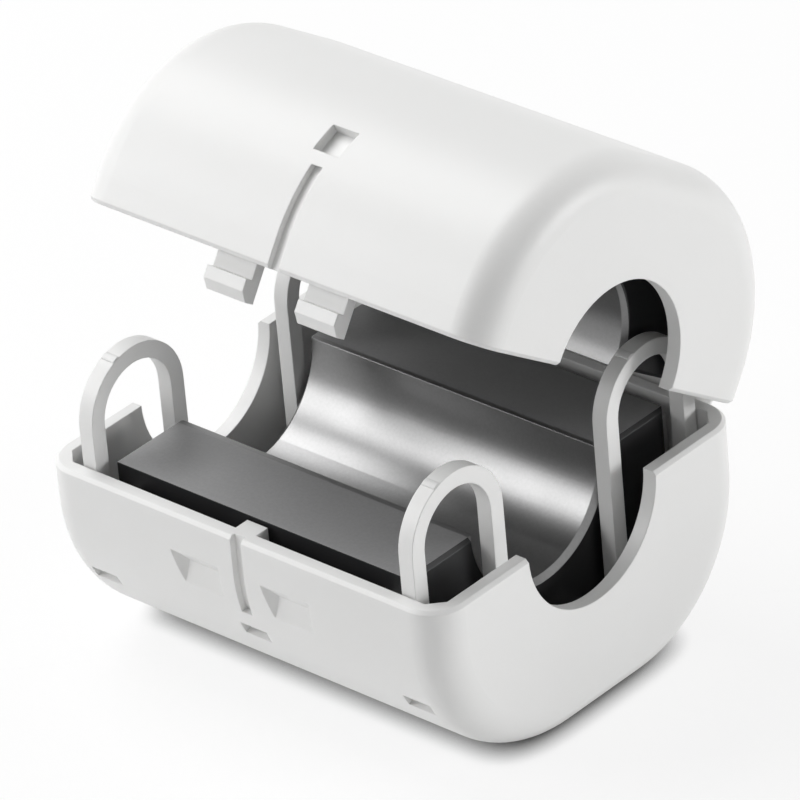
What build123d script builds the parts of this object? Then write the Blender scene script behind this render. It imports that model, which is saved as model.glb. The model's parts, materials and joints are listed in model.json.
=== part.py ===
from build123d import *
from math import cos, radians, sin
import os

# Clip-on ferrite core, lid open at the photographed angle, in millimetres.
# X runs along the cable, -Y is the latch side, +Y is the hinge side, z = 0 is the table.

# Case
case_length = 41.2
case_width = 35.8
wall = 1.25
end_corner = 3.0        # rounding between the long sides and the end faces
inner_corner = 1.2      # flat across the same corner inside
rim_bevel = 0.3
lower_depth = 17.7
lower_belly = 14.4      # rounding between the front wall and the flat bottom
lower_rear_belly = 12.9
upper_depth = 16.9
upper_belly = 14.6
cable_radius = 7.5
upper_cable_rise = 0.4  # the lid's cable opening is centred a little above its rim

# Ferrite halves
core_length = 30.5
core_side_room = 1.65   # between the ferrite's long side and the case wall
core_depth = 13.85
core_corner = 9.0
core_edge = 0.3
groove_edge = 0.45
lower_core_proud = 0.25
upper_core_proud = -0.2  # the lid's ferrite lies behind its rim
rim_gap = 0.1           # between the rims of the closed case
seat_gap = 0.05

# Hinge and opening angle
hinge_out = 0.4         # hinge line outside the rear wall
hinge_drop = 0.9        # hinge line below the rim
open_angle = 34.4
film_length = 34.0
film_thickness = 0.3
film_lower_leaf = 2.5
film_upper_leaf = 3.3
pad_height = 2.9

# Latch tongues and what they catch
latch_spacing = 9.3
latch_width = 4.0
latch_thickness = 1.0
latch_wall_gap = 0.2
latch_step = 1.4        # upward step of the barb, below the lid's rim
latch_bottom = 3.2
barb_reach = 0.7
barb_face = 1.0
barb_gap = 0.15
catch_ledge = 1.2       # rim left above the recess that takes the barb
catch_bottom = 3.7

# Wedge pockets, centre groove and windows of the long front wall
pocket_width = 5.0
pocket_top = 3.4
pocket_deepest = 4.5
pocket_bottom = 6.9
pocket_depth = 0.95
pocket_lean = 1.05      # slope of the end face, along the cable
groove_width = 1.1
groove_depth = 0.55
groove_end = 7.0
window_size = 2.6
window_depth = 0.9
window_tilt = 35.0
mark_tilt = 24.0
slot_length = 2.7
slot_height = 1.3
slot_depth = 0.7
slot_centre = 16.2
slot_tilt = 28.0

# Arched loops at the four corners
loop_thickness = 1.4
loop_band = 1.4
loop_radius = 5.2
loop_wall_gap = 0.15    # between a loop and the long wall beside it
loop_rise = 3.3         # centre of the arch above the rim
loop_core_gap = 0.5

# Ribs that carry the ferrite
rib_thickness = 0.8
rib_positions = (-13.5, 13.5)
rib_top_drop = 1.6
boss_width = 2.1
boss_depth = 10.0
stop_thickness = 1.0
stop_spacing = 7.0
stop_drop = 4.0         # top of the stops below the cable opening

rim_z = lower_depth
lower_shape = (lower_depth, lower_belly, lower_rear_belly)
upper_shape = (upper_depth, upper_belly, upper_belly)
half_width = case_width / 2
core_width = case_width - 2 * (wall + core_side_room)
loop_centre_y = half_width - wall - loop_wall_gap - loop_radius
half_length = case_length / 2
hinge_y = half_width + hinge_out
hinge_z = -hinge_drop   # counted from the rim


# Outline across the cable, its front rounded by front and its rear by rear.
def case_outline(depth, front, rear, inset):
    width = case_width - 2 * inset
    halves = Sketch()
    for side, belly in ((-1, front), (1, rear)):
        half = RectangleRounded(width, 2 * (depth - inset), belly - inset)
        halves += half & (Pos(side * width / 4, 0) * Rectangle(width / 2, 2 * depth))
    return Plane.YZ * halves


# Solid block of one case half below z = 0, smaller by inset on every side but the rim.
def case_block(shape, inset=0.0):
    depth, front, rear = shape
    block = extrude(case_outline(depth, front, rear, inset), half_length - inset, both=True)
    ends = block.faces().filter_by(Axis.X).edges()
    if inset == 0:
        block = fillet(ends, end_corner)
    else:
        block = chamfer(ends, inner_corner)
    return split(block, Plane.XY, keep=Keep.BOTTOM)


def cable_bore(radius, length):
    return Rot(0, 90, 0) * Cylinder(radius, length)


# Outline of the ferrite from its ground face at z = 0 downwards, grown by gap.
def core_block(length, gap=0.0):
    width = core_width + 2 * gap
    section = Plane.YZ * RectangleRounded(width, 2 * (core_depth + gap), core_corner + gap)
    block = extrude(section, length / 2, both=True)
    return split(block, Plane.XY, keep=Keep.BOTTOM)


def ferrite_half():
    core = core_block(core_length) - cable_bore(cable_radius, core_length + 2)
    ends = core.faces().filter_by(Axis.X)
    bore = [e for f in ends for e in f.edges().filter_by(GeomType.CIRCLE) if abs(e.radius - cable_radius) < 0.01]
    core = chamfer(bore, groove_edge)
    outer = [e for e in core.edges().filter_by(Axis.Y) if abs(abs(e.center().X) - core_length / 2) < 0.01]
    outer += [e for e in core.edges().filter_by(Axis.Z) if abs(abs(e.center().X) - core_length / 2) < 0.01]
    return chamfer(outer, core_edge)


# Cross ribs that fill the room between the case wall and the ferrite.
def cradle_ribs(shape, core_face):
    depth = shape[0]
    room = case_block(shape, wall - 0.3)
    ribs = Part()
    for x in rib_positions:
        ribs += room & (Pos(x, 0, -depth / 2 - rib_top_drop) * Box(rib_thickness, case_width, depth))
    return ribs - Pos(0, 0, core_face) * core_block(case_length, seat_gap)


# Short upright stops between the end walls and the ferrite's end faces.
def end_stops(shape):
    room = case_block(shape, wall - 0.3)
    top = cable_radius + stop_drop
    reach = half_length - wall + 0.3 - core_length / 2 - seat_gap
    stops = Part()
    for side in (-1, 1):
        for y in (-stop_spacing / 2, stop_spacing / 2):
            block = Box(reach, stop_thickness, shape[0] - top)
            x = side * (core_length / 2 + seat_gap + reach / 2)
            stops += room & (Pos(x, y, -(shape[0] + top) / 2) * block)
    return stops


# Point of the outer profile whose wall leans by tilt from upright, and its outward direction.
def belly_plane(shape, tilt):
    depth, belly = shape[:2]
    y = -(half_width - belly) - belly * cos(radians(tilt))
    z = -(depth - belly) - belly * sin(radians(tilt))
    return Plane(origin=(0, y, z), x_dir=(1, 0, 0), z_dir=(0, -cos(radians(tilt)), -sin(radians(tilt))))


# Shallow upright groove from the rim down.
def front_groove(shape, end):
    deep = case_block(shape, groove_depth)
    strip = Pos(0, -case_width / 4, -end / 2) * Box(groove_width, case_width / 2, end)
    return strip - deep


# Blind rectangle sunk square to the rounded wall.
def sunk_mark(shape, x, tilt, length, height, depth):
    return Pos(x, 0, 0) * belly_plane(shape, tilt) * Box(length, height, 2 * depth)


# Pocket that is deepest near its top, with a left end face that leans towards the middle.
def wedge_pocket(x):
    front = -half_width
    outline = Polyline(
        (front - 0.1, -pocket_top + 0.12), (front + pocket_depth, -pocket_deepest),
        (front - 0.1, -pocket_bottom - 0.25), close=True)
    wedge = extrude(Plane.YZ * make_face(outline), pocket_width / 2, both=True)
    top = Vector(-pocket_width / 2, front, -pocket_top)
    deep = Vector(pocket_lean - pocket_width / 2, front + pocket_depth, -pocket_deepest)
    low = Vector(pocket_lean - pocket_width / 2, front, -pocket_bottom)
    end_face = Plane(origin=top, x_dir=low - top, z_dir=(low - top).cross(deep - top))
    return Pos(x, 0, 0) * split(wedge, end_face, keep=Keep.TOP)


# Arch that stands between the ferrite's end and the end wall, rooted in the case floor.
def corner_loop(x, y):
    outer = Pos(0, loop_rise) * Circle(loop_radius) + Pos(0, (loop_rise - lower_depth) / 2) * Rectangle(
        2 * loop_radius, loop_rise + lower_depth)
    inner_radius = loop_radius - loop_band
    inner = Pos(0, loop_rise) * Circle(inner_radius) + Pos(0, (loop_rise - lower_depth) / 2) * Rectangle(
        2 * inner_radius, loop_rise + lower_depth)
    arch = extrude(Plane.YZ * (outer - inner), loop_thickness / 2, both=True)
    arch = Pos(x, y, 0) * arch
    rooted = arch & case_block(lower_shape, wall - 0.3)
    return rooted + split(arch, Plane.XY, keep=Keep.TOP)


def hinge_pad(top):
    pad = Box(film_length, 0.5 + hinge_out - film_thickness / 2, pad_height)
    y = half_width - 0.5 + (0.5 + hinge_out - film_thickness / 2) / 2
    return Pos(0, y, top - pad_height / 2) * pad


# Upright boss in the middle of the front wall, between the two latches.
def front_boss():
    reach = half_width - core_width / 2
    boss = Pos(0, -(half_width - reach / 2 + 0.3), -boss_depth / 2) * Box(boss_width, reach, boss_depth)
    return boss & case_block(lower_shape, wall - 0.3)


def lower_shell():
    block = case_block(lower_shape)
    rim = block.faces().sort_by(Axis.Z)[-1]
    shell = chamfer(rim.edges(), rim_bevel) - case_block(lower_shape, wall)
    shell -= cable_bore(cable_radius, case_length + 2)
    shell += cradle_ribs(lower_shape, lower_core_proud)
    shell += end_stops(lower_shape)
    shell += front_boss()
    shell += hinge_pad(hinge_z - 0.2)
    shell -= front_groove(lower_shape, groove_end)
    shell -= sunk_mark(lower_shape, 0, mark_tilt, slot_length, slot_height, slot_depth)
    for side in (-1, 1):
        shell -= wedge_pocket(side * latch_spacing / 2)
        shell -= catch_recess(side * latch_spacing / 2)
        shell -= sunk_mark(lower_shape, side * slot_centre, slot_tilt, slot_length, slot_height, slot_depth)
    x = core_length / 2 + loop_core_gap + loop_thickness / 2
    for end in (-1, 1):
        for side in (-1, 1):
            shell += corner_loop(end * x, side * loop_centre_y)
    return shell


# Room behind the lower rim for one barb; the rim above it is the catch.
def catch_recess(x):
    depth = barb_reach - latch_wall_gap + barb_gap
    height = catch_bottom - catch_ledge
    y = -(half_width - wall) - depth / 2 + 0.05
    return Pos(x, y, -catch_ledge - height / 2) * Box(latch_width + 0.6, depth + 0.1, height)


# The lid is drawn closed and upside down, like the lower half, and turned over at the end.
def upper_shell():
    block = case_block(upper_shape)
    rim = block.faces().sort_by(Axis.Z)[-1]
    shell = chamfer(rim.edges(), rim_bevel) - case_block(upper_shape, wall)
    shell -= Pos(0, 0, -upper_cable_rise) * cable_bore(cable_radius, case_length + 2)
    shell += cradle_ribs(upper_shape, upper_core_proud)
    shell += end_stops(upper_shape)
    shell += hinge_pad(0)
    shell -= front_groove(upper_shape, upper_depth / 2)
    shell -= sunk_mark(upper_shape, 0, window_tilt, window_size, window_size, window_depth)
    return shell


# Springy tongue under the lid's front rim, with the step of its barb facing up.
def latch_tongue(x):
    inner_face = -(half_width - wall)
    neck = inner_face + latch_wall_gap
    back = neck + latch_thickness
    tip = neck - barb_reach
    outline = Polyline(
        (inner_face, -0.35), (inner_face, -2.2), (back, -2.8), (back, latch_bottom),
        (neck + 0.1, latch_bottom), (tip, latch_step + barb_face), (tip, latch_step),
        (neck, latch_step), (neck, -0.35), close=True)
    section = Plane.YZ * make_face(outline)
    return Pos(x, 0, 0) * extrude(section, latch_width / 2, both=True)


def turn_over(part):
    return mirror(part, about=Plane.XY)


# Swings a piece of the closed lid open about the hinge line.
def swing_open(part):
    return Pos(0, hinge_y, hinge_z) * Rot(-open_angle, 0, 0) * Pos(0, -hinge_y, -hinge_z) * part


def on_lid(part):
    return swing_open(Pos(0, 0, rim_gap) * turn_over(part))


# Thin film between the two rear walls, one leaf on each half.
def film_hinge():
    lower = Pos(0, hinge_y, hinge_z - film_lower_leaf / 2) * Box(film_length, film_thickness, film_lower_leaf)
    upper = Pos(0, hinge_y, hinge_z + film_upper_leaf / 2) * Box(film_length, film_thickness, film_upper_leaf)
    bead = Pos(0, hinge_y, hinge_z) * cable_bore(film_thickness / 2, film_length)
    return lower + bead + swing_open(upper)


pieces = {
    "lower_shell": lower_shell(),
    "lower_core": Pos(0, 0, lower_core_proud) * ferrite_half(),
    "upper_shell": on_lid(upper_shell()),
    "upper_core": on_lid(Pos(0, 0, upper_core_proud) * ferrite_half()),
    "latch_tongue_left": on_lid(latch_tongue(-latch_spacing / 2)),
    "latch_tongue_right": on_lid(latch_tongue(latch_spacing / 2)),
    "film_hinge": film_hinge(),
}

os.makedirs("parts", exist_ok=True)
for name, piece in pieces.items():
    placed = Pos(0, 0, rim_z) * piece
    export_step(placed, f"parts/{name}.step")
    print(name, round(placed.volume, 1), "mm3", len(placed.solids()), "solid")
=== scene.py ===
import bpy, json
from math import cos, radians, sin
from mathutils import Matrix, Vector


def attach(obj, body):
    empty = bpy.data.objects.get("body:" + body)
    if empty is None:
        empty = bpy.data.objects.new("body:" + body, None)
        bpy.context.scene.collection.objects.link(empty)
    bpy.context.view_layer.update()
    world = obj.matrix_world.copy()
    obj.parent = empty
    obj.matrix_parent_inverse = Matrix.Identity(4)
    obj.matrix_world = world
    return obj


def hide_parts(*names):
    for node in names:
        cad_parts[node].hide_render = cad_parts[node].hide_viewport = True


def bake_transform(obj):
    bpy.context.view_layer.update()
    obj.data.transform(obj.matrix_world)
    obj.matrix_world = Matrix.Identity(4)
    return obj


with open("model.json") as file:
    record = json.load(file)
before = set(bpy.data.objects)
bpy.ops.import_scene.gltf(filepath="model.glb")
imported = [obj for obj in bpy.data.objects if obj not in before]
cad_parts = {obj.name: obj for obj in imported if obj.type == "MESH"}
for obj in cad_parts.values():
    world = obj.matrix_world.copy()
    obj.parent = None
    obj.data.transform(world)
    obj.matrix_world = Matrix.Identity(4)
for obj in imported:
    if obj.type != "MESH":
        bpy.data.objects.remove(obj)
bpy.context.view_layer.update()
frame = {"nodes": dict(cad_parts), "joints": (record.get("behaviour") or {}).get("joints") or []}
nodes = frame["nodes"]
print("frame loaded:", sorted(nodes))

caseSizes = {
    "rimHeight": 0.0177,          # parting plane of the lower half above the table
    "openAngle": radians(34.4),   # lid as stored
    "hinge": Vector(frame["joints"][0]["pos_m"]),
    "lowerGroove": 0.00025,       # axis of the lower ferrite's groove above the lower rim
    "upperGroove": 0.0001,        # axis of the upper one above the lid's rim
}


# A point given in the closed lid's place (rim at z = 0) goes to the open lid's place.
def onLid(point):
    place = Vector(point) + Vector((0, 0, caseSizes["rimHeight"]))
    return caseSizes["hinge"] + lidDirection(place - caseSizes["hinge"])


def lidDirection(direction):
    return Matrix.Rotation(-caseSizes["openAngle"], 3, "X") @ Vector(direction)


# Node helpers.
def newMaterial(name):
    material = bpy.data.materials.new(name)
    material.use_nodes = True
    tree = material.node_tree
    tree.nodes.clear()
    output = tree.nodes.new("ShaderNodeOutputMaterial")
    shader = tree.nodes.new("ShaderNodeBsdfPrincipled")
    tree.links.new(shader.outputs["BSDF"], output.inputs["Surface"])
    return material, tree, shader


def feed(tree, socket, value):
    if isinstance(value, bpy.types.NodeSocket):
        tree.links.new(value, socket)
    else:
        socket.default_value = value


def addNode(tree, kind, values=None, **settings):
    node = tree.nodes.new(kind)
    for key, value in settings.items():
        setattr(node, key, value)
    for key, value in (values or {}).items():
        feed(tree, node.inputs[key], value)
    return node


def mathNode(tree, operation, a, b=0.0, clamp=False):
    node = addNode(tree, "ShaderNodeMath", {0: a, 1: b}, operation=operation, use_clamp=clamp)
    return node.outputs[0]


def vectorNode(tree, operation, a, b=None):
    values = {0: a} if b is None else {0: a, 1: b}
    return addNode(tree, "ShaderNodeVectorMath", values, operation=operation)


def noise(tree, place, scale, detail=3.0):
    values = {"Vector": place, "Scale": scale, "Detail": detail}
    return addNode(tree, "ShaderNodeTexNoise", values).outputs[0]


def mixColour(tree, factor, first, second):
    node = addNode(tree, "ShaderNodeMix", data_type="RGBA")
    for index, value in ((0, factor), (6, first), (7, second)):   # the colour mode's sockets
        feed(tree, node.inputs[index], value)
    return node.outputs[2]


def objectPlace(tree):
    return addNode(tree, "ShaderNodeTexCoord").outputs["Object"]


def objectNormal(tree):
    return addNode(tree, "ShaderNodeTexCoord").outputs["Normal"]


def paint(piece, material):
    piece.data.materials.clear()
    piece.data.materials.append(material)


# Moulded plastic of the case. Pattern scales are per metre.
plasticLook = {
    "colour": (0.80, 0.80, 0.79, 1),
    "paleFlow": (0.83, 0.83, 0.825, 1),   # where the melt flowed thin
    "flowScale": 90.0,
    "grainScale": 2600.0,                 # fine spark-eroded grain
    "grainDetail": 4.0,
    "grainHeight": 0.000012,
    "grainStrength": 0.35,
    "roughness": (0.37, 0.49),            # lowest and highest over the grain
    "edgeRadius": 0.00014,                # soft moulded edges
    "scatterShare": 0.08,
    "scatterRadius": (1.0, 0.95, 0.9),
    "scatterReach": 0.0006,
}


def mouldedPlastic():
    look = plasticLook
    material, tree, shader = newMaterial("casePlastic")
    place = objectPlace(tree)
    flow = noise(tree, place, look["flowScale"])
    tint = mixColour(tree, flow, look["colour"], look["paleFlow"])
    tree.links.new(tint, shader.inputs["Base Color"])
    grain = noise(tree, place, look["grainScale"], look["grainDetail"])
    rough = addNode(tree, "ShaderNodeMapRange", {
        "Value": grain, "To Min": look["roughness"][0], "To Max": look["roughness"][1]})
    tree.links.new(rough.outputs[0], shader.inputs["Roughness"])
    edge = addNode(tree, "ShaderNodeBevel", {"Radius": look["edgeRadius"]}, samples=6)
    bump = addNode(tree, "ShaderNodeBump", {
        "Height": grain, "Distance": look["grainHeight"],
        "Strength": look["grainStrength"], "Normal": edge.outputs[0]})
    tree.links.new(bump.outputs[0], shader.inputs["Normal"])
    shader.inputs["Subsurface Weight"].default_value = look["scatterShare"]
    shader.inputs["Subsurface Radius"].default_value = look["scatterRadius"]
    shader.inputs["Subsurface Scale"].default_value = look["scatterReach"]
    return material


# Sintered ferrite: ground joint face, polished groove, black fired skin elsewhere.
ferriteLook = {
    "skin": (0.010, 0.010, 0.011, 1),
    "ground": (0.295, 0.295, 0.297, 1),
    "groove": (0.255, 0.255, 0.255, 1),
    "dust": (0.04, 0.04, 0.042, 1),
    "dustShare": 0.22,
    "faceLimit": 0.93,          # least agreement with the ground face's direction
    "grooveLimit": 0.00798,     # groove radius and a little of its bevels
    "skinRoughness": 0.38,
    "groundRoughness": 0.46,
    "grooveRoughness": 0.28,
    "cloudRoughness": 0.08,     # the most that faint clouds add
    "groundMetal": 0.35,        # metal sheen of the ground face as a share of the groove's
    "metalShare": 0.85,
    "cloudScale": 160.0,
    "speckleScale": 4200.0,
    "speckleDetail": 6.0,
    "grindScale": 5200.0,
    "grindStretch": (0.03, 1.0, 1.0),   # grinding lines run along the cable
    "reliefHeight": 0.000008,
    "reliefStrength": 0.3,
    "edgeRadius": 0.0001,
}


# faceUp is the ground face's outward direction and axisPoint a point of the groove's axis.
def sinteredFerrite(name, faceUp, axisPoint):
    look = ferriteLook
    material, tree, shader = newMaterial(name)
    place = objectPlace(tree)
    facing = vectorNode(tree, "DOT_PRODUCT", objectNormal(tree), tuple(faceUp)).outputs["Value"]
    ground = mathNode(tree, "GREATER_THAN", facing, look["faceLimit"])
    fromAxis = vectorNode(tree, "SUBTRACT", place, tuple(axisPoint)).outputs[0]
    across = vectorNode(tree, "MULTIPLY", fromAxis, (0.0, 1.0, 1.0)).outputs[0]
    distance = vectorNode(tree, "LENGTH", across).outputs["Value"]
    groove = mathNode(tree, "LESS_THAN", distance, look["grooveLimit"])
    speckle = noise(tree, place, look["speckleScale"], look["speckleDetail"])
    cloud = noise(tree, place, look["cloudScale"])
    stretched = addNode(tree, "ShaderNodeMapping", {"Vector": place, "Scale": look["grindStretch"]})
    lines = noise(tree, stretched.outputs[0], look["grindScale"])

    base = mixColour(tree, ground, look["skin"], look["ground"])
    base = mixColour(tree, groove, base, look["groove"])
    dust = mathNode(tree, "MULTIPLY", speckle, look["dustShare"])
    base = mixColour(tree, dust, base, look["dust"])
    tree.links.new(base, shader.inputs["Base Color"])

    sheen = mathNode(tree, "MAXIMUM", mathNode(tree, "MULTIPLY", ground, look["groundMetal"]), groove)
    metal = mathNode(tree, "MULTIPLY", sheen, look["metalShare"])
    tree.links.new(metal, shader.inputs["Metallic"])

    rough = look["skinRoughness"]
    for share, change in ((groove, look["grooveRoughness"] - look["skinRoughness"]),
                          (ground, look["groundRoughness"] - look["skinRoughness"]),
                          (cloud, look["cloudRoughness"])):
        rough = mathNode(tree, "ADD", rough, mathNode(tree, "MULTIPLY", share, change))
    tree.links.new(rough, shader.inputs["Roughness"])

    finished = mathNode(tree, "MAXIMUM", ground, groove)
    height = mixColour(tree, finished, speckle, lines)
    edge = addNode(tree, "ShaderNodeBevel", {"Radius": look["edgeRadius"]}, samples=4)
    bump = addNode(tree, "ShaderNodeBump", {
        "Height": height, "Distance": look["reliefHeight"],
        "Strength": look["reliefStrength"], "Normal": edge.outputs[0]})
    tree.links.new(bump.outputs[0], shader.inputs["Normal"])
    return material


plastic = mouldedPlastic()
lowerAxis = (0, 0, caseSizes["rimHeight"] + caseSizes["lowerGroove"])
upperAxis = onLid((0, 0, caseSizes["upperGroove"]))
for name in ("lower_shell", "upper_shell", "latch_tongue_left", "latch_tongue_right", "film_hinge"):
    paint(nodes[name], plastic)
paint(nodes["lower_core"], sinteredFerrite("lowerFerrite", (0, 0, 1), lowerAxis))
paint(nodes["upper_core"], sinteredFerrite("upperFerrite", lidDirection((0, 0, -1)), upperAxis))
print("materials painted")


# Geometry node helpers. growMesh turns a tree into a plain mesh of its own.
def newTree(name, inputs):
    tree = bpy.data.node_groups.new(name, "GeometryNodeTree")
    sockets = {"Geometry": "Geometry", **inputs, "Finish": "Material"}
    for label, kind in sockets.items():
        tree.interface.new_socket(label, in_out="INPUT", socket_type="NodeSocket" + kind)
    tree.interface.new_socket("Geometry", in_out="OUTPUT", socket_type="NodeSocketGeometry")
    return tree, tree.nodes.new("NodeGroupInput").outputs


def closeTree(tree, geometry, given):
    real = addNode(tree, "GeometryNodeRealizeInstances", {"Geometry": geometry})
    finish = addNode(tree, "GeometryNodeSetMaterial", {
        "Geometry": real.outputs[0], "Material": given["Finish"]})
    addNode(tree, "NodeGroupOutput", {0: finish.outputs[0]})
    return tree


def growMesh(name, tree, material, values):
    holder = bpy.data.objects.new(name + "Holder", bpy.data.meshes.new(name + "Holder"))
    bpy.context.scene.collection.objects.link(holder)
    modifier = holder.modifiers.new("grow", "NODES")
    modifier.node_group = tree
    values = dict(values, Finish=material)
    for item in tree.interface.items_tree:
        if item.item_type == "SOCKET" and item.in_out == "INPUT" and item.name in values:
            modifier[item.identifier] = values[item.name]
    bpy.context.view_layer.update()
    settled = holder.evaluated_get(bpy.context.evaluated_depsgraph_get())
    grown = bpy.data.meshes.new_from_object(settled)
    holder.modifiers.remove(modifier)
    bpy.data.objects.remove(holder)
    piece = bpy.data.objects.new(name, grown)
    bpy.context.scene.collection.objects.link(piece)
    print(name, len(grown.polygons), "faces")
    return piece


# Film hinge: a thin moulded strip that necks down at the hinge line.
filmSizes = {
    "length": 0.034,
    "thickness": 0.0003,
    "neck": 0.00018,        # thickness at the hinge line
    "neckReach": 0.0006,    # from the hinge line to the full thickness
    "lowerLeaf": 0.0025,
    "upperLeaf": 0.0033,
    "bendReach": 0.0005,    # stretch on each side of the hinge line that takes the bend
    "slices": 72,
}


# The strip is drawn straight, as in the closed case, thinned at its middle and then bent open.
def filmTree():
    tree, given = newTree("filmStrip", {
        "Length": "Float",
        "Thickness": "Float",
        "Neck Share": "Float",
        "Neck Reach": "Float",
        "Bend Reach": "Float",
        "Low End": "Vector",
        "High End": "Vector",
        "Hinge": "Vector",
        "Open Angle": "Float",
        "Slices": "Int"})
    line = addNode(tree, "GeometryNodeCurvePrimitiveLine", {
        "Start": given["Low End"], "End": given["High End"]}, mode="POINTS")
    path = addNode(tree, "GeometryNodeResampleCurve", {
        "Curve": line.outputs[0], "Count": given["Slices"]}, mode="COUNT")
    turned = addNode(tree, "GeometryNodeSetCurveNormal", {
        "Curve": path.outputs[0], "Normal": (1, 0, 0)}, mode="FREE")
    section = addNode(tree, "GeometryNodeCurvePrimitiveQuadrilateral", {
        "Width": given["Length"], "Height": given["Thickness"]}, mode="RECTANGLE")
    strip = addNode(tree, "GeometryNodeCurveToMesh", {
        "Curve": turned.outputs[0], "Profile Curve": section.outputs[0], "Fill Caps": True})

    place = addNode(tree, "GeometryNodeInputPosition").outputs[0]
    offset = vectorNode(tree, "SUBTRACT", place, given["Hinge"]).outputs[0]
    along, through, height = addNode(tree, "ShaderNodeSeparateXYZ", {0: offset}).outputs
    away = mathNode(tree, "DIVIDE", mathNode(tree, "ABSOLUTE", height), given["Neck Reach"])
    share = addNode(tree, "ShaderNodeMapRange", {"Value": away, "To Min": given["Neck Share"]},
                    interpolation_type="SMOOTHSTEP").outputs[0]
    thinned = addNode(tree, "ShaderNodeCombineXYZ", {
        0: along, 1: mathNode(tree, "MULTIPLY", through, share), 2: height}).outputs[0]

    stretch = mathNode(tree, "MULTIPLY", given["Bend Reach"], 2.0)
    fromLow = mathNode(tree, "ADD", height, given["Bend Reach"])
    bend = mathNode(tree, "DIVIDE", fromLow, stretch, clamp=True)
    bent = addNode(tree, "ShaderNodeVectorRotate", {
        "Vector": thinned, "Axis": (-1, 0, 0),
        "Angle": mathNode(tree, "MULTIPLY", bend, given["Open Angle"])}, rotation_type="AXIS_ANGLE")
    moved = addNode(tree, "GeometryNodeSetPosition", {
        "Geometry": strip.outputs[0],
        "Position": vectorNode(tree, "ADD", bent.outputs[0], given["Hinge"]).outputs[0]})
    return closeTree(tree, moved.outputs[0], given)


def makeFilmHinge():
    hinge = caseSizes["hinge"]
    film = growMesh("filmHinge", filmTree(), plastic, {
        "Length": filmSizes["length"],
        "Thickness": filmSizes["thickness"],
        "Neck Share": filmSizes["neck"] / filmSizes["thickness"],
        "Neck Reach": filmSizes["neckReach"],
        "Bend Reach": filmSizes["bendReach"],
        "Low End": hinge - Vector((0, 0, filmSizes["lowerLeaf"])),
        "High End": hinge + Vector((0, 0, filmSizes["upperLeaf"])),
        "Hinge": hinge,
        "Open Angle": caseSizes["openAngle"],
        "Slices": filmSizes["slices"]})
    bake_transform(film)
    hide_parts("film_hinge")


# Gate marks: the low cross ridge where the melt entered each arched loop.
gateSizes = {
    "outward": 0.01645,      # loop's middle from the middle of the case, along the cable
    "across": 0.0113,
    "archHeight": 0.0033,    # centre of the arch above the rim
    "archRadius": 0.0052,
    "lean": radians(20),     # from the top of the arch towards the front wall
    "size": (0.0013, 0.0007, 0.00022),
    "crown": 2.4,            # how fast the ridge falls to its long edges
}


# One low ridge, set on every loop with the same tilt.
def gateTree():
    tree, given = newTree("gateMarks", {
        "Outward": "Float",
        "Across": "Float",
        "Height": "Float",
        "Radius": "Float",
        "Lean": "Float",
        "Size": "Vector",
        "Crown": "Float"})
    corners = addNode(tree, "GeometryNodeMeshGrid", {
        "Size X": mathNode(tree, "MULTIPLY", given["Outward"], 2.0),
        "Size Y": mathNode(tree, "MULTIPLY", given["Across"], 2.0),
        "Vertices X": 2, "Vertices Y": 2})
    points = addNode(tree, "GeometryNodeMeshToPoints", {"Mesh": corners.outputs[0]})
    sideways = mathNode(tree, "MULTIPLY", mathNode(tree, "SINE", given["Lean"]), given["Radius"])
    upwards = mathNode(tree, "MULTIPLY", mathNode(tree, "COSINE", given["Lean"]), given["Radius"])
    shift = addNode(tree, "ShaderNodeCombineXYZ", {
        1: mathNode(tree, "MULTIPLY", sideways, -1.0),
        2: mathNode(tree, "ADD", upwards, given["Height"])})
    raised = addNode(tree, "GeometryNodeSetPosition", {
        "Geometry": points.outputs[0], "Offset": shift.outputs[0]})

    ridge = addNode(tree, "GeometryNodeMeshCube", {
        "Size": given["Size"], "Vertices X": 3, "Vertices Y": 5, "Vertices Z": 2})
    place = addNode(tree, "GeometryNodeInputPosition").outputs[0]
    along, across, height = addNode(tree, "ShaderNodeSeparateXYZ", {0: place}).outputs
    width = addNode(tree, "ShaderNodeSeparateXYZ", {0: given["Size"]}).outputs[1]
    fromMiddle = mathNode(tree, "DIVIDE", mathNode(tree, "ABSOLUTE", across), width)
    fall = mathNode(tree, "MULTIPLY", mathNode(tree, "POWER", fromMiddle, 2.0), given["Crown"])
    low = mathNode(tree, "MULTIPLY", height, mathNode(tree, "SUBTRACT", 1.0, fall))
    rounded = addNode(tree, "ShaderNodeCombineXYZ", {0: along, 1: across, 2: low})
    shaped = addNode(tree, "GeometryNodeSetPosition", {
        "Geometry": ridge.outputs[0], "Position": rounded.outputs[0]})
    tilt = addNode(tree, "ShaderNodeCombineXYZ", {0: given["Lean"]})
    copies = addNode(tree, "GeometryNodeInstanceOnPoints", {
        "Points": raised.outputs[0], "Instance": shaped.outputs[0], "Rotation": tilt.outputs[0]})
    return closeTree(tree, copies.outputs[0], given)


def makeGateMarks():
    marks = growMesh("gateMarks", gateTree(), plastic, {
        "Outward": gateSizes["outward"],
        "Across": gateSizes["across"],
        "Height": caseSizes["rimHeight"] + gateSizes["archHeight"],
        "Radius": gateSizes["archRadius"],
        "Lean": gateSizes["lean"],
        "Size": gateSizes["size"],
        "Crown": gateSizes["crown"]})
    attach(marks, "base")


makeFilmHinge()
makeGateMarks()
print("small pieces made")


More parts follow.
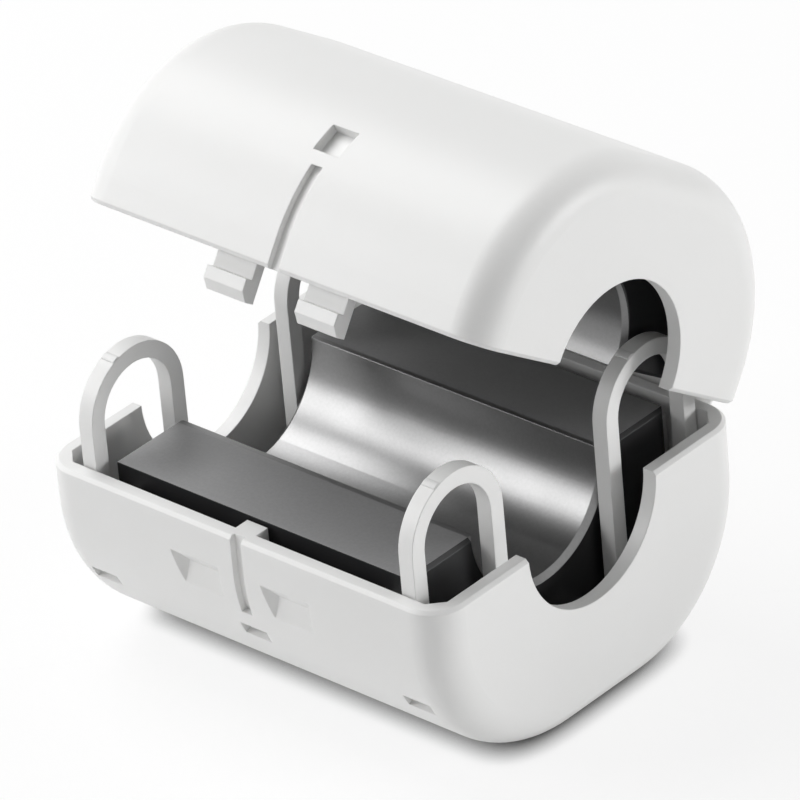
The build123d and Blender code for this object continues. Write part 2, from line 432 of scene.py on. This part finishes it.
# Floor, light and camera. A lamp is its place, its size and its power.
studio = {
    "middle": (0, 0, 0.02),    # what the lamps look at
    "keyLeft": ((-0.37, -0.34, 0.29), (0.30, 0.30), 1.34),
    "sideRight": ((0.44, 0.26, 0.10), (0.22, 0.16), 1.28),
    "topSoft": ((-0.25, 0.02, 0.45), (0.30, 0.30), 1.46),
    "worldFill": 0.22,
    "floorReach": 3.0,
    "floorColour": (0.95, 0.95, 0.95, 1),
    "floorRoughness": 0.9,
    "floorGlow": 0.84,         # share of plain white that the camera sees in the floor
    "paintedFootShade": (0.16, 0.16, 0.16, 1),   # painted shade: floor colour in the narrow gap under the round belly
    "footReach": 0.0026,
    "footOpen": (0.13, 0.70),  # openness at which the painted foot shade is full and at which it ends
    "white": (1, 1, 1, 1),
}


def areaLight(name):
    place, size, power = studio[name]
    lamp = bpy.data.lights.new(name, "AREA")
    lamp.shape = "RECTANGLE"
    lamp.size, lamp.size_y = size
    lamp.energy = power
    holder = bpy.data.objects.new(name, lamp)
    holder.location = place
    away = Vector(place) - Vector(studio["middle"])
    holder.rotation_euler = away.to_track_quat("Z", "Y").to_euler()
    bpy.context.scene.collection.objects.link(holder)


# Camera, mirror and glass rays, to which the background is plain white.
def seenRays(tree):
    rays = addNode(tree, "ShaderNodeLightPath").outputs
    mirrored = mathNode(tree, "MAXIMUM", rays["Is Glossy Ray"], rays["Is Transmission Ray"])
    return mathNode(tree, "MAXIMUM", rays["Is Camera Ray"], mirrored)


# Painted shade: an ambient occlusion mask darkens the floor's colour and its white glow close to the
# foot of the case, standing in for the shadow under its round belly.
def paleFloor():
    reach = studio["floorReach"]
    mesh = bpy.data.meshes.new("floor")
    corners = [(-reach, -reach, 0), (reach, -reach, 0), (reach, reach, 0), (-reach, reach, 0)]
    mesh.from_pydata(corners, [], [(0, 1, 2, 3)])
    floor = bpy.data.objects.new("floor", mesh)
    bpy.context.scene.collection.objects.link(floor)
    material, tree, shader = newMaterial("paleFloor")
    # Painted shade: the less open the floor is within the foot's reach, the more its colour goes to
    # the dark foot shade colour.
    near = addNode(tree, "ShaderNodeAmbientOcclusion", {"Distance": studio["footReach"]}, samples=16)
    lit = addNode(tree, "ShaderNodeMapRange", {
        "Value": near.outputs["AO"],
        "From Min": studio["footOpen"][0], "From Max": studio["footOpen"][1]}).outputs[0]
    tint = mixColour(tree, lit, studio["paintedFootShade"], studio["floorColour"])
    tree.links.new(tint, shader.inputs["Base Color"])
    shader.inputs["Roughness"].default_value = studio["floorRoughness"]
    glow = addNode(tree, "ShaderNodeEmission", {"Color": studio["white"], "Strength": 1.0})
    # Painted shade: the white glow fades with the same occlusion mask near the case's foot.
    seen = mathNode(tree, "MULTIPLY", mathNode(tree, "MULTIPLY", seenRays(tree), lit),
                    studio["floorGlow"])
    mix = addNode(tree, "ShaderNodeMixShader", {0: seen, 1: shader.outputs[0], 2: glow.outputs[0]})
    output = next(node for node in tree.nodes if node.type == "OUTPUT_MATERIAL")
    tree.links.new(mix.outputs[0], output.inputs["Surface"])
    paint(floor, material)


def whiteWorld():
    world = bpy.data.worlds.new("studio")
    bpy.context.scene.world = world
    world.use_nodes = True
    tree = world.node_tree
    tree.nodes.clear()
    fill, white = (addNode(tree, "ShaderNodeBackground", {"Color": studio["white"], "Strength": level})
                   for level in (studio["worldFill"], 1.0))
    mix = addNode(tree, "ShaderNodeMixShader", {
        0: seenRays(tree), 1: fill.outputs[0], 2: white.outputs[0]})
    addNode(tree, "ShaderNodeOutputWorld", {"Surface": mix.outputs[0]})


cameraView = {
    "target": Vector((0.00053, 0.000985, 0.0207)),
    "azimuth": radians(43.97),
    "elevation": radians(30.99),
    "roll": radians(-5.27),
    "distance": 0.6448,
    "lens": 375.3,
    "clip": (0.05, 20),
}


def photoCamera():
    a, e, r = cameraView["azimuth"], cameraView["elevation"], cameraView["roll"]
    back = Vector((sin(a) * cos(e), -cos(a) * cos(e), sin(e)))
    right = Vector((cos(a), sin(a), 0))
    up = back.cross(right)
    right, up = cos(r) * right + sin(r) * up, cos(r) * up - sin(r) * right
    camera = bpy.data.objects.new("photoCamera", bpy.data.cameras.new("photoCamera"))
    camera.data.lens = cameraView["lens"]
    camera.data.clip_start, camera.data.clip_end = cameraView["clip"]
    place = cameraView["target"] + cameraView["distance"] * back
    turn = Matrix((right, up, back)).transposed()
    camera.matrix_world = Matrix.Translation(place) @ turn.to_4x4()
    bpy.context.scene.collection.objects.link(camera)
    bpy.context.scene.camera = camera


paleFloor()
whiteWorld()
for name in ("keyLeft", "sideRight", "topSoft"):
    areaLight(name)
photoCamera()
bpy.context.scene.view_settings.view_transform = "Standard"
print("studio set")
